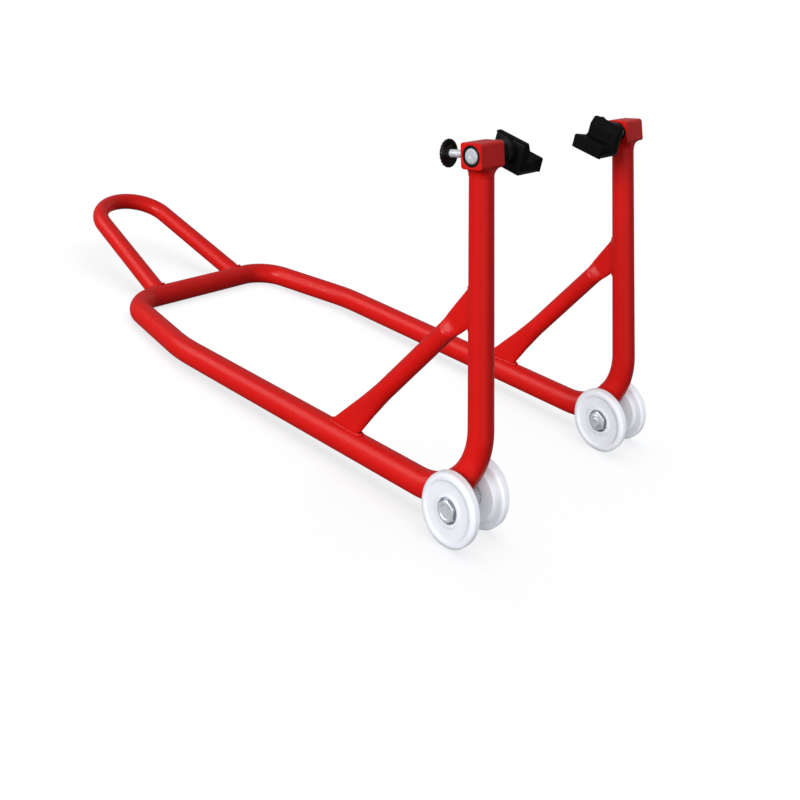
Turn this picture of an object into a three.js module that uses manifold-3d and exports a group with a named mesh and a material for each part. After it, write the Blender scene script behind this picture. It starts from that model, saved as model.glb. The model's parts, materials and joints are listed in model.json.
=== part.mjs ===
// Rear paddock stand: bent-tube frame on four nylon wheels, with a handle loop
// at the rear and two adjustable L-shaped swingarm pads on top of the uprights.
// Units are millimetres. +X is the stand's right side, +Y points from the
// handle to the wheels, +Z is up. The origin is on the floor under the middle
// of the stand's bounding box. The stand is symmetric about X = 0.
// Parts are laid out in the legs' frame: the plane of the legs is z = 0, and
// y = 0 is where the leg and upright lines meet. The whole is pitched at the end.
import * as THREE from 'three';
import Module from 'manifold-3d';
import { mergeVertices } from 'three/addons/utils/BufferGeometryUtils.js';

// ---------------------------------------------------------------- dimensions
const GAP = 0.02;                // clearance of a cut, or between touching parts
const FIT = 0.05;                // looser clearance
const PITCH = Math.asin(0.02154);         // legs' slope down to the crossbar

// Tubes
const FRAME_R = 12.7;            // main tube, 25.4 mm outside diameter
const FRAME_WALL = 2.0;
const HANDLE_R = 11.0;           // handle tube, 22 mm
const HANDLE_WALL = 1.8;
const BRACE_R = 9.5;             // brace tube, 19 mm

// Corners of the main tube's centre line
const CORNER_X = 140.7;                   // where leg and upright lines meet
const SIDE_X = 147.2, SIDE_Y = -438.4;    // start of the inward-tapering part
const REAR_X = 117.9, REAR_Y = -584.4;    // rear corners, on the crossbar
const UPRIGHT_DX = 0.0194, UPRIGHT_DY = -0.1105;          // drift per mm of height
const BEND_FRONT = 66, BEND_SIDE = 190, BEND_REAR = 46;   // centre-line radii

// Handle loop, rising rearwards from the crossbar
const HANDLE_X = 69.4, HANDLE_TOP_X = 49.8;   // half widths at the foot and the top
const HANDLE_L = 222.8;
const HANDLE_RISE = THREE.MathUtils.degToRad(15);
const HANDLE_BEND_SHARE = 0.985;          // part of the half top taken by each bend

// Braces
const BRACE_Y = -182, BRACE_Z = 188;      // brace ends on leg and upright
const BRACE_FLAT = 3.6;                   // half thickness of the flattened ends

// Axles: lengths along the axle are measured from AXLE_X
const AXLE_X = 141.0, AXLE_Y = -18, AXLE_Z = 6.1;
const SLEEVE_R = 8, SLEEVE_HALF = 13.7;
const AXLE_BORE_R = 5.2;
const BOLT_R = 5;                         // M10
const BOLT_CHAMFER = 0.9, BOLT_PROUD = 1.8;   // at the nut end
const WHEEL_START = 13.9;                 // face of each wheel next to the sleeve
const WHEEL_R = 31.0, WHEEL_BORE_R = 8.06;
const RECESS_R = 10.9;                    // counterbore round the washer and hexagon
const WHEEL_BUSH_R = 8.0, WHEEL_BUSH_L = 9.95;
const WASHER_R = 10.2, WASHER_T = 2.0;
const HEX_AF = 17, HEAD_T = 6.4, NUT_T = 8;   // AF is across flats

// Arm sockets and arms
const ARM_Z = 319.7;
const ARM_FORWARD = 2.5;                  // socket set forward of the upright
const SOCKET_HALF = 12.5, SOCKET_BORE_R = 10.2;
const SOCKET_CORNER_R = 3;
const SOCKET_IN = 128.7, SOCKET_OUT = 168.6;
const SOCKET_ROLL = 0.055;                // turned back from the upright, radians
const ARM_R = 7.5, ARM_BORE_R = 7.56;
const ARM_BUSH_END = 6;                   // depth the bushes reach into the socket
const ARM_BUSH_INSET = 0.3;
const COLLAR_R = 10.4, COLLAR_T = 3;

// Clamping knobs, at the rear of the sockets
const KNOB_X = 156.5, STUD_R = 4.0;
const KNOB_R = 14.0, KNOB_FRONT = 34.3, KNOB_BACK = 41.3;   // faces, from the arm axis
const STUD_END = KNOB_BACK - 4;

// Swingarm pads
const PAD_OUT = 104.8;                    // outer face of the L bracket
const PAD_W = 43, PAD_HALF = 18.5, PAD_H = 33.7, PAD_T = 4;
const PAD_AXIS_H = 19.4;                  // swivel axis above pad underside
const PAD_TILT = THREE.MathUtils.degToRad(-11);
const BRACKET_W = PAD_W - 2.35, BRACKET_H = 31.4, BRACKET_BASE = 0.3;
const HUB_R = 12, HUB_L = 15.0, HUB_BORE_R = 7.65;
const SHELF_H = 15.2, ROOT_H = 12.0;      // rubber shelf, falling towards the flange
const ROOT_W = 16, FLANGE_W = 13.0;       // foot of the shelf, and the flange
const ARM_END = PAD_OUT - PAD_T - 0.15;   // inner end of the arm bar

// ------------------------------------------------------------ mesh helpers
const wasm = await Module();
wasm.setup();

// Indexed geometry, with its faces turned outward if its volume is negative.
function fromArrays(positions, indices) {
  const geometry = new THREE.BufferGeometry();
  geometry.setAttribute('position', new THREE.BufferAttribute(new Float32Array(positions), 3));
  const faces = Array.from(indices);
  const corner = (i) => new THREE.Vector3().fromArray(positions, 3 * i);
  let volume = 0;
  for (let i = 0; i < faces.length; i += 3) {
    const [a, b, c] = faces.slice(i, i + 3).map(corner);
    volume += a.dot(b.cross(c));
  }
  if (volume < 0) {
    for (let i = 0; i < faces.length; i += 3) {
      [faces[i + 1], faces[i + 2]] = [faces[i + 2], faces[i + 1]];
    }
  }
  geometry.setIndex(faces);
  return geometry;
}

function toManifold(geometry) {
  const merged = mergeVertices(geometry, 1e-5);
  return new wasm.Manifold(new wasm.Mesh({
    numProp: 3,
    vertProperties: new Float32Array(merged.attributes.position.array),
    triVerts: new Uint32Array(merged.index.array),
  }));
}

function fromManifold(manifold) {
  const mesh = manifold.getMesh();
  return fromArrays(mesh.vertProperties, mesh.triVerts);
}

function cut(geometry, ...tools) {
  return fromManifold(tools.reduce((body, tool) => body.subtract(toManifold(tool)),
    toManifold(geometry)));
}

// Copy under a matrix that reflects, with its faces turned outward again.
function reflected(geometry, matrix) {
  const copy = geometry.clone().applyMatrix4(matrix);
  return fromArrays(copy.attributes.position.array, copy.index.array);
}

const MIRROR_X = new THREE.Matrix4().makeScale(-1, 1, 1);
const bothSides = (geometry) => [geometry, reflected(geometry, MIRROR_X)];

function pushQuad(faces, a, b, c, d) {
  faces.push(a, b, c, a, c, d);
}

// ----------------------------------------------------------- shape helpers
// Turned solid about X. Profile points are [x, radius], joined in a closed
// loop; points with radius 0 sit on the axis.
function turned(profile, sides = 20) {
  const positions = [], faces = [];
  const rings = profile.map(([x, radius]) => {
    const first = positions.length / 3;
    if (radius === 0) {
      positions.push(x, 0, 0);
      return [first];
    }
    for (let i = 0; i < sides; i++) {
      const angle = 2 * Math.PI * i / sides;
      positions.push(x, radius * Math.cos(angle), radius * Math.sin(angle));
    }
    return Array.from({ length: sides }, (_, i) => first + i);
  });
  rings.forEach((ringA, k) => {
    const ringB = rings[(k + 1) % rings.length];
    if (ringA.length === 1 && ringB.length === 1) return;   // runs along the axis
    for (let i = 0; i < sides; i++) {
      const j = (i + 1) % sides;
      if (ringA.length === 1) faces.push(ringA[0], ringB[i], ringB[j]);
      else if (ringB.length === 1) faces.push(ringA[i], ringB[0], ringA[j]);
      else pushQuad(faces, ringA[i], ringB[i], ringB[j], ringA[j]);
    }
  });
  return fromArrays(positions, faces);
}

function ring(x0, x1, innerR, outerR) {
  return turned([[x0, innerR], [x1, innerR], [x1, outerR], [x0, outerR]]);
}

function rod(x0, x1, radius) {
  return turned([[x0, 0], [x0, radius], [x1, radius], [x1, 0]]);
}

// Prism along X of an outline in (y, z), with optional holes.
function prism(outline, x0, x1, holes = []) {
  const toLoop = (points, clockwise) => {
    const loop = points.map((point) => new THREE.Vector2(...point));
    return THREE.ShapeUtils.isClockWise(loop) === clockwise ? loop : loop.reverse();
  };
  const outer = toLoop(outline, false);
  const inner = holes.map((hole) => toLoop(hole, true));
  const points = [outer, ...inner].flat();
  const count = points.length, positions = [], faces = [];
  for (const x of [x0, x1]) {
    for (const point of points) positions.push(x, point.x, point.y);
  }
  for (const [a, b, c] of THREE.ShapeUtils.triangulateShape(outer, inner)) {
    faces.push(a + count, b + count, c + count, a, c, b);
  }
  let first = 0;
  for (const loop of [outer, ...inner]) {
    for (let i = 0; i < loop.length; i++) {
      const a = first + i, b = first + (i + 1) % loop.length;
      pushQuad(faces, a, b, b + count, a + count);
    }
    first += loop.length;
  }
  return fromArrays(positions, faces);
}

function circle(radius, sides = 20, start = 0) {
  return Array.from({ length: sides }, (_, i) => {
    const angle = start + 2 * Math.PI * i / sides;
    return [radius * Math.cos(angle), radius * Math.sin(angle)];
  });
}

function hexagon(acrossFlats) {
  return circle(acrossFlats / 2 / Math.cos(Math.PI / 6), 6, Math.PI / 6);
}

function roundedSquare(half, radius, steps = 4) {
  const points = [];
  for (let quarter = 0; quarter < 4; quarter++) {
    const centreX = (half - radius) * (quarter === 0 || quarter === 3 ? 1 : -1);
    const centreY = (half - radius) * (quarter < 2 ? 1 : -1);
    for (let i = 0; i <= steps; i++) {
      const angle = Math.PI / 2 * (quarter + i / steps);
      points.push([centreX + radius * Math.cos(angle), centreY + radius * Math.sin(angle)]);
    }
  }
  return points;
}

// Path through corners [x, y, z, bend radius, bend steps], given for the right
// half and completed by mirroring. Returns [point, tangent] pairs.
function symmetricPath(rightHalf) {
  const leftHalf = rightHalf.map(([x, ...rest]) => [-x, ...rest]).reverse();
  const corners = [...rightHalf, ...leftHalf];
  const points = corners.map(([x, y, z]) => new THREE.Vector3(x, y, z));
  const last = points.length - 1;
  const direction = (i) => points[i + 1].clone().sub(points[i]).normalize();
  const path = [[points[0], direction(0)]];
  for (let i = 1; i < last; i++) {
    const [radius, steps] = corners[i].slice(3);
    const before = direction(i - 1), after = direction(i);
    const turn = Math.acos(THREE.MathUtils.clamp(before.dot(after), -1, 1));
    const axis = before.clone().cross(after).normalize();
    const start = points[i].clone().addScaledVector(before, -radius * Math.tan(turn / 2));
    const centre = start.clone()
      .addScaledVector(axis.clone().cross(before).normalize(), radius);
    for (let k = 0; k <= steps; k++) {
      const rotation = new THREE.Quaternion().setFromAxisAngle(axis, turn * k / steps);
      const point = start.clone().sub(centre).applyQuaternion(rotation).add(centre);
      path.push([point, before.clone().applyQuaternion(rotation)]);
    }
  }
  path.push([points[last], direction(last - 1)]);
  return path;
}

// Round bar along a path, or a tube if innerR is not 0. Each ring's first
// point is carried along the path, starting from +X.
function sweep(path, outerR, innerR, sides = 18) {
  const positions = [], faces = [];
  let normal = new THREE.Vector3(1, 0, 0);
  const stations = path.map(([point, tangent]) => {
    normal = normal.clone().addScaledVector(tangent, -normal.dot(tangent)).normalize();
    return [point, normal, tangent.clone().cross(normal).normalize()];
  });
  for (const radius of innerR ? [outerR, innerR] : [outerR]) {
    for (const [point, across, up] of stations) {
      for (let i = 0; i < sides; i++) {
        const angle = 2 * Math.PI * i / sides;
        positions.push(...point.clone()
          .addScaledVector(across, radius * Math.cos(angle))
          .addScaledVector(up, radius * Math.sin(angle)));
      }
    }
  }
  const end = stations.length - 1;
  const outer = (k, i) => k * sides + i % sides;
  const inner = (k, i) => outer(k + stations.length, i);
  for (let k = 0; k < end; k++) {
    for (let i = 0; i < sides; i++) {
      pushQuad(faces, outer(k, i), outer(k + 1, i), outer(k + 1, i + 1), outer(k, i + 1));
      if (innerR) {
        pushQuad(faces, inner(k, i), inner(k, i + 1), inner(k + 1, i + 1), inner(k + 1, i));
      }
    }
  }
  if (innerR) {
    for (let i = 0; i < sides; i++) {
      pushQuad(faces, outer(0, i), outer(0, i + 1), inner(0, i + 1), inner(0, i));
      pushQuad(faces, outer(end, i), inner(end, i), inner(end, i + 1), outer(end, i + 1));
    }
  } else {
    const startCentre = positions.length / 3, endCentre = startCentre + 1;
    positions.push(...stations[0][0], ...stations[end][0]);
    for (let i = 0; i < sides; i++) {
      faces.push(startCentre, outer(0, i), outer(0, i + 1));
      faces.push(endCentre, outer(end, i + 1), outer(end, i));
    }
  }
  return fromArrays(positions, faces);
}

// Straight bar of oval section. Stations are [distance, half width along
// wideAxis, half thickness]; a negative distance is measured from the far end.
function squashedBar(start, end, wideAxis, stations, sides = 16) {
  const direction = end.clone().sub(start);
  const length = direction.length();
  direction.normalize();
  const across = wideAxis.clone()
    .addScaledVector(direction, -wideAxis.dot(direction)).normalize();
  const thin = direction.clone().cross(across).normalize();
  const positions = [], faces = [];
  for (const [distance, halfWidth, halfThickness] of stations) {
    const along = distance < 0 ? length + distance : distance;
    for (let i = 0; i < sides; i++) {
      const angle = 2 * Math.PI * i / sides;
      positions.push(...start.clone().addScaledVector(direction, along)
        .addScaledVector(across, halfWidth * Math.cos(angle))
        .addScaledVector(thin, halfThickness * Math.sin(angle)));
    }
  }
  const last = (stations.length - 1) * sides;
  for (let k = 0; k < last; k += sides) {
    for (let i = 0; i < sides; i++) {
      const j = (i + 1) % sides;
      pushQuad(faces, k + i, k + sides + i, k + sides + j, k + j);
    }
  }
  for (let i = 1; i < sides - 1; i++) {
    faces.push(0, i, i + 1, last, last + i + 1, last + i);
  }
  return fromArrays(positions, faces);
}

// --------------------------------------------------------------- placement
const frameAt = (x, y, z, tilt) => new THREE.Matrix4().makeRotationX(tilt).setPosition(x, y, z);
const LEAN = Math.atan(-UPRIGHT_DY);      // uprights lean to the rear
const ARM_Y = UPRIGHT_DY * ARM_Z + ARM_FORWARD * Math.cos(LEAN);
const IN_PLACE = new THREE.Matrix4();
const ARM_FRAME = frameAt(0, ARM_Y, ARM_Z, LEAN + SOCKET_ROLL);
const PAD_FRAME = frameAt(0, ARM_Y, ARM_Z, PAD_TILT);
const AXLE_FRAME = frameAt(AXLE_X, AXLE_Y, AXLE_Z, 0);
const PITCHED = new THREE.Matrix4().makeRotationX(PITCH);

const MATERIALS = {
  red: { color: 0xc8140f, roughness: 0.3, metalness: 0.1 },
  black: { color: 0x101113, roughness: 0.6, metalness: 0.0 },
  rubber: { color: 0x0e0f10, roughness: 0.8, metalness: 0.0 },
  zinc: { color: 0xc4ccd2, roughness: 0.35, metalness: 0.9 },
  nylon: { color: 0xe9ecf2, roughness: 0.45, metalness: 0.0 },
};
const group = new THREE.Group();
group.name = 'paddock_stand';

function add(name, geometry, material) {
  const mesh = new THREE.Mesh(
    geometry.applyMatrix4(PITCHED),
    new THREE.MeshStandardMaterial(MATERIALS[material]),
  );
  mesh.name = name;
  group.add(mesh);
}

// Adds a right-hand part, moved from its own frame, and its left-hand mirror.
function addPair(name, geometry, material, frame) {
  const [right, left] = bothSides(geometry.applyMatrix4(frame));
  add(`${name}_right`, right, material);
  add(`${name}_left`, left, material);
}

// ------------------------------------------------------------- main frame
const onUpright = (z) => [CORNER_X + UPRIGHT_DX * z, UPRIGHT_DY * z, z];
const TUBE_TOP = ARM_Z - SOCKET_HALF + 6;   // runs past the socket's underside
const framePath = symmetricPath([
  [...onUpright(TUBE_TOP), 0, 0],
  [CORNER_X, 0, 0, BEND_FRONT, 9],
  [SIDE_X, SIDE_Y, 0, BEND_SIDE, 3],
  [REAR_X, REAR_Y, 0, BEND_REAR, 7],
]);
const frameCutter = sweep(framePath, FRAME_R + GAP, 0);

function frameTube() {
  const underside = -SOCKET_HALF - GAP;
  const block = [[-30, underside], [30, underside], [30, 40], [-30, 40]];
  const topCutter = prism(block, 110, 190).applyMatrix4(ARM_FRAME);
  const sleeveHalf = SLEEVE_HALF + 3;
  const sleeveCutter = rod(-sleeveHalf, sleeveHalf, SLEEVE_R + GAP).applyMatrix4(AXLE_FRAME);
  const tube = sweep(framePath, FRAME_R, FRAME_R - FRAME_WALL);
  return cut(tube, ...bothSides(topCutter), ...bothSides(sleeveCutter));
}
add('frame_tube', frameTube(), 'red');

// ---------------------------------------------------------------- handle
function handleTube() {
  const corner = (x, along, radius, steps) => [
    x, REAR_Y - along * Math.cos(HANDLE_RISE), along * Math.sin(HANDLE_RISE), radius, steps,
  ];
  const insideAngle = Math.PI / 2 + Math.atan((HANDLE_X - HANDLE_TOP_X) / HANDLE_L);
  const bendR = HANDLE_TOP_X * HANDLE_BEND_SHARE * Math.tan(insideAngle / 2);
  const path = symmetricPath([
    corner(HANDLE_X, 0, 0, 0),
    corner(HANDLE_TOP_X, HANDLE_L, bendR, 8),
  ]);
  return cut(sweep(path, HANDLE_R, HANDLE_R - HANDLE_WALL, 16), frameCutter);
}
add('handle_tube', handleTube(), 'red');

// ---------------------------------------------------------------- braces
// [distance from the leg, or negative from the upright; half width; half thickness]
const BRACE_STATIONS = [
  [0, 15.6, BRACE_FLAT], [30, 13.4, 4.2], [60, 10.8, 6.5], [90, BRACE_R, BRACE_R],
  [-56, BRACE_R, BRACE_R], [-50, 9.8, 6.0], [-42, 11.0, BRACE_FLAT],
  [-20, 13.2, BRACE_FLAT], [-0.001, 14.8, BRACE_FLAT],
];

function brace() {
  const legX = CORNER_X + (SIDE_X - CORNER_X) * BRACE_Y / SIDE_Y;
  const legEnd = new THREE.Vector3(legX, BRACE_Y, 0);
  const uprightEnd = new THREE.Vector3(...onUpright(BRACE_Z));
  const wideAxis = new THREE.Vector3(0, -1, 1);
  return cut(squashedBar(legEnd, uprightEnd, wideAxis, BRACE_STATIONS), frameCutter);
}
addPair('brace', brace(), 'red', IN_PLACE);

// ------------------------------------------------------- axle and wheels
const AXLE_SIDES = [['outer', 1], ['inner', -1]];   // name and direction along X
const BUSH_START = SLEEVE_HALF + FIT;
const BUSH_END = BUSH_START + WHEEL_BUSH_L;
const WASHER_START = BUSH_END + GAP;
const WASHER_END = WASHER_START + WASHER_T;
const BOLT_SEAT = WASHER_END + GAP;       // under the bolt head and the nut

// [distance from the face next to the sleeve, radius]
const WHEEL_PROFILE = [
  [0, WHEEL_BORE_R], [0, 21.6], [1.0, 22.6], [4.2, 22.6], [4.2, 29.2], [6.0, WHEEL_R],
  [13.4, WHEEL_R], [15.8, 29.7], [16.5, 27.6], [16.5, 25.6], [14.8, 23.8], [14.5, 14.4],
  [15.9, 13.4], [15.9, RECESS_R], [9.6, RECESS_R], [9.6, WHEEL_BORE_R],
];

function wheel(side) {
  return turned(WHEEL_PROFILE.map(([along, r]) => [side * (WHEEL_START + along), r]), 32);
}

// Head on the outer side, joined to the shank.
function axleBolt() {
  const tip = -BOLT_SEAT - NUT_T - BOLT_PROUD;
  const head = prism(hexagon(HEX_AF), BOLT_SEAT, BOLT_SEAT + HEAD_T);
  const shankEnd = BOLT_SEAT + 0.5;
  const shank = turned([
    [tip, 0], [tip, BOLT_R - BOLT_CHAMFER], [tip + BOLT_CHAMFER, BOLT_R],
    [shankEnd, BOLT_R], [shankEnd, 0],
  ]);
  return fromManifold(toManifold(head).add(toManifold(shank)));
}

function axleNut() {
  return prism(hexagon(HEX_AF), -BOLT_SEAT - NUT_T, -BOLT_SEAT, [circle(BOLT_R + 0.03)]);
}

const sleeve = ring(-SLEEVE_HALF, SLEEVE_HALF, AXLE_BORE_R, SLEEVE_R);
addPair('axle_sleeve', sleeve, 'zinc', AXLE_FRAME);
for (const [name, side] of AXLE_SIDES) {
  addPair(`wheel_${name}`, wheel(side), 'nylon', AXLE_FRAME);
}
for (const [name, side] of AXLE_SIDES) {
  const bush = ring(side * BUSH_START, side * BUSH_END, AXLE_BORE_R, WHEEL_BUSH_R);
  addPair(`wheel_bush_${name}`, bush, 'zinc', AXLE_FRAME);
  const washer = ring(side * WASHER_START, side * WASHER_END, AXLE_BORE_R + FIT, WASHER_R);
  addPair(`axle_washer_${name}`, washer, 'zinc', AXLE_FRAME);
}
addPair('axle_bolt', axleBolt(), 'zinc', AXLE_FRAME);
addPair('axle_nut', axleNut(), 'zinc', AXLE_FRAME);

// ------------------------------------------------ sockets, arms and knobs
// Knob parts are turned about X, then pointed to the rear of the socket.
const KNOB_FRAME = new THREE.Matrix4().makeRotationZ(-Math.PI / 2).setPosition(KNOB_X, 0, 0);

function armSocket() {
  const outline = roundedSquare(SOCKET_HALF, SOCKET_CORNER_R);
  const block = prism(outline, SOCKET_IN, SOCKET_OUT, [circle(SOCKET_BORE_R, 32)]);
  const studHole = rod(ARM_R + 0.2, SOCKET_HALF + 4, STUD_R + 0.12);
  return cut(block, studHole.applyMatrix4(KNOB_FRAME));
}

function armBush(x0, x1) {
  return ring(x0, x1, ARM_BORE_R, SOCKET_BORE_R - 0.08);
}

function armBar() {
  const outerEnd = SOCKET_OUT + 0.6;
  return turned([
    [ARM_END, 0], [ARM_END, ARM_R], [SOCKET_OUT - 0.8, ARM_R],
    [outerEnd, ARM_R - 1.2], [outerEnd, 0],
  ]);
}

function armCollar() {
  const start = PAD_OUT + HUB_L + 0.25;
  return ring(start, start + COLLAR_T, ARM_R + GAP, COLLAR_R);
}

function knobStud() {
  const tip = ARM_R + 0.15;
  return turned([
    [tip, 0], [tip, STUD_R - 1], [tip + 1, STUD_R], [STUD_END, STUD_R], [STUD_END, 0],
  ]).applyMatrix4(KNOB_FRAME);
}

function knob() {
  const boreEnd = STUD_END + 0.1, boreR = STUD_R + 0.03;
  return turned([
    [boreEnd, 0], [boreEnd, boreR], [KNOB_FRONT - 1.5, boreR], [KNOB_FRONT - 1.5, 6.6],
    [KNOB_FRONT, 8.0], [KNOB_FRONT, KNOB_R - 1.0], [KNOB_FRONT + 1.2, KNOB_R],
    [KNOB_FRONT + 2.8, KNOB_R - 0.6], [KNOB_BACK - 1.8, 9.4], [KNOB_BACK, 5.0], [KNOB_BACK, 0],
  ], 28).applyMatrix4(KNOB_FRAME);
}

addPair('arm_socket', armSocket(), 'red', ARM_FRAME);
const outerBush = armBush(SOCKET_OUT - ARM_BUSH_END, SOCKET_OUT - ARM_BUSH_INSET);
addPair('arm_bush_outer', outerBush, 'black', ARM_FRAME);
const innerBush = armBush(SOCKET_IN + ARM_BUSH_INSET, SOCKET_IN + ARM_BUSH_END);
addPair('arm_bush_inner', innerBush, 'black', ARM_FRAME);
addPair('arm_bar', armBar(), 'zinc', ARM_FRAME);
addPair('arm_collar', armCollar(), 'black', ARM_FRAME);
addPair('knob_stud', knobStud(), 'zinc', ARM_FRAME);
addPair('knob', knob(), 'black', ARM_FRAME);

// ----------------------------------------------------------------- pads
const SWAP_XY = new THREE.Matrix4().set(0, 1, 0, 0, 1, 0, 0, 0, 0, 0, 1, 0, 0, 0, 0, 1);

// Prism along Y. Outline points are [distance inward from PAD_OUT, height
// above the pad's underside].
function padPrism(outline, half) {
  const points = outline.map(([inward, height]) => [PAD_OUT - inward, height - PAD_AXIS_H]);
  return reflected(prism(points, -half, half), SWAP_XY);
}

function padBracket() {
  const bracket = padPrism([
    [0, BRACKET_BASE], [BRACKET_W, BRACKET_BASE], [BRACKET_W, PAD_T],
    [PAD_T, PAD_T], [PAD_T, BRACKET_H], [0, BRACKET_H],
  ], PAD_HALF - 1);
  return cut(bracket, rod(PAD_OUT - PAD_T - 1, PAD_OUT + 1, HUB_BORE_R));
}

// Wraps the bracket's inner faces and edges, with a recess round the screw head.
function padRubber() {
  const rubber = padPrism([
    [PAD_W, 0], [PAD_W, SHELF_H - 1.4], [PAD_W - 1.4, SHELF_H], [ROOT_W, ROOT_H],
    [FLANGE_W, ROOT_H + 2.4], [FLANGE_W, 25.5], [7, PAD_H], [0, PAD_H],
    [0, BRACKET_H + FIT], [PAD_T + FIT, BRACKET_H + FIT], [PAD_T + FIT, PAD_T + FIT],
    [BRACKET_W + FIT, PAD_T + FIT], [BRACKET_W + FIT, 0],
  ], PAD_HALF);
  return cut(rubber, rod(PAD_OUT - 8.6, PAD_OUT - PAD_T, 10.4));
}

function swivelScrew() {
  const seat = ARM_END - GAP, tip = ARM_END - 3.4;
  return turned([[seat, 0], [seat, 9.6], [ARM_END - 1.6, 9.6], [tip, 6.5], [tip, 0]]);
}

addPair('pad_bracket', padBracket(), 'black', PAD_FRAME);
const padHub = ring(PAD_OUT + GAP, PAD_OUT + HUB_L, HUB_BORE_R, HUB_R);
addPair('pad_hub', padHub, 'black', PAD_FRAME);
addPair('pad_rubber', padRubber(), 'rubber', PAD_FRAME);
addPair('swivel_screw', swivelScrew(), 'zinc', ARM_FRAME);

// ---------------------------------------------- origin at bottom centre
const box = new THREE.Box3().setFromObject(group);
for (const mesh of group.children) {
  mesh.geometry.translate(0, -(box.min.y + box.max.y) / 2, -box.min.z);
}

export default group;
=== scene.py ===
# Looks for the paddock stand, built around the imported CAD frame. Metres, +Z up.
import json
import math
import random
import bpy
import bmesh
from mathutils import Matrix, Vector, noise
from mathutils.geometry import tessellate_polygon

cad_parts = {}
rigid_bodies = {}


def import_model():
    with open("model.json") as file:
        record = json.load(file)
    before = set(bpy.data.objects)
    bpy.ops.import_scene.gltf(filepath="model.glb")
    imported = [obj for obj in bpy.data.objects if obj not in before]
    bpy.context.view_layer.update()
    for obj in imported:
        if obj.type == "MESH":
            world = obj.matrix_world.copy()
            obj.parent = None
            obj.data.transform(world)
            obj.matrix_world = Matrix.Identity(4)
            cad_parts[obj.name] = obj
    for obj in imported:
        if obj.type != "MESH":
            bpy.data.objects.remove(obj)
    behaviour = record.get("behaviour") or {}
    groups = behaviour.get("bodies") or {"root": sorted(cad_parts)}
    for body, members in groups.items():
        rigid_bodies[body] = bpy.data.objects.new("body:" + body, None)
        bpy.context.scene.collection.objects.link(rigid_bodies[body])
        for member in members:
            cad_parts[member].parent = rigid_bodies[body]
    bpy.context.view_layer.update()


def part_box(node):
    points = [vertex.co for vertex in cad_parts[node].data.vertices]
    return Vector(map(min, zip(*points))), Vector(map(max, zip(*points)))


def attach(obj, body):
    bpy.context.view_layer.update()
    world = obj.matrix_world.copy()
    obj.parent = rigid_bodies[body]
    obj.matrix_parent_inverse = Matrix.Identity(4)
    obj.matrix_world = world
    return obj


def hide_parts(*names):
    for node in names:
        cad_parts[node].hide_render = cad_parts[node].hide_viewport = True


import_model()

MM = 0.001
TAU = 2 * math.pi

# ------------------------------------------------------------- CAD numbers
# The same driving sizes as the CAD part, in millimetres, in the plane of the
# legs; place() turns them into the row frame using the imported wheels.
FRAME_R, HANDLE_R, SMALL_R = 12.7, 11.0, 9.5
CORNER_X, SIDE_X, SIDE_Y, REAR_X, REAR_Y = 140.7, 147.2, -438.4, 117.9, -584.4
UP_DX, UP_DY = 0.0194, -0.1105
BEND_FRONT, BEND_SIDE, BEND_REAR = 66, 190, 46
HANDLE_X, HANDLE_TOP_X, HANDLE_L, HANDLE_RISE = 69.4, 49.8, 222.8, math.radians(15)
BRACE_Y, BRACE_Z = -182, 188
AXLE_X, AXLE_Y, AXLE_Z = 141.0, -18, 6.1
BOSS_R, BOSS_HALF, BOLT_R, BORE_R, HUB_IN, WHEEL_R = 8, 13.7, 5.0, 5.2, 13.9, 31.0
BUSH_L, WASHER_R, WASHER_T, HEX_AF, HEAD_T, NUT_T, RECESS_R = 9.95, 10.2, 2.0, 17, 6.4, 8, 10.9
ARM_Z, ARM_FORWARD = 319.7, 2.5
SOCK, SOCK_BORE, SOCK_IN, SOCK_OUT = 12.5, 10.2, 128.7, 168.6
ARM_R, ARM_BORE, HUB_BORE = 7.5, 7.56, 7.65
KNOB_X, STUD_R, KNOB_R, KNOB_FRONT, KNOB_BACK = 156.5, 4.0, 14.0, 34.3, 41.3
SOCKET_ROLL = 0.055
PAD_OUT, PAD_W, PAD_HALF, PAD_H, PAD_T, PAD_AXIS_H = 104.8, 43, 18.5, 33.7, 4, 19.4
SHELF_H, ROOT_H, ROOT_W, FLANGE_W = 15.2, 12.0, 16, 13.0
PAD_TILT, HUB_R, HUB_L = math.radians(-11), 12, 15.0
PITCH = math.asin(0.02154)
LEAN = math.atan(-UP_DY)

lo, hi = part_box("wheel_outer_right")
axle = (Vector(lo) + Vector(hi)) / 2 / MM
rot = Matrix.Rotation(PITCH, 4, 'X')
off = rot @ Vector((0, AXLE_Y, AXLE_Z))
PLACE = Matrix.Translation(Vector((0, axle.y - off.y, axle.z - off.z))) @ rot
armY = UP_DY * ARM_Z + ARM_FORWARD * math.cos(LEAN)
ARM = Matrix.Translation(Vector((0, armY, ARM_Z))) @ Matrix.Rotation(LEAN + SOCKET_ROLL, 4, 'X')
PAD = Matrix.Translation(Vector((0, armY, ARM_Z))) @ Matrix.Rotation(PAD_TILT, 4, 'X')
AXLE = Matrix.Translation(Vector((AXLE_X, AXLE_Y, AXLE_Z)))
ID = Matrix.Identity(4)


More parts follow.
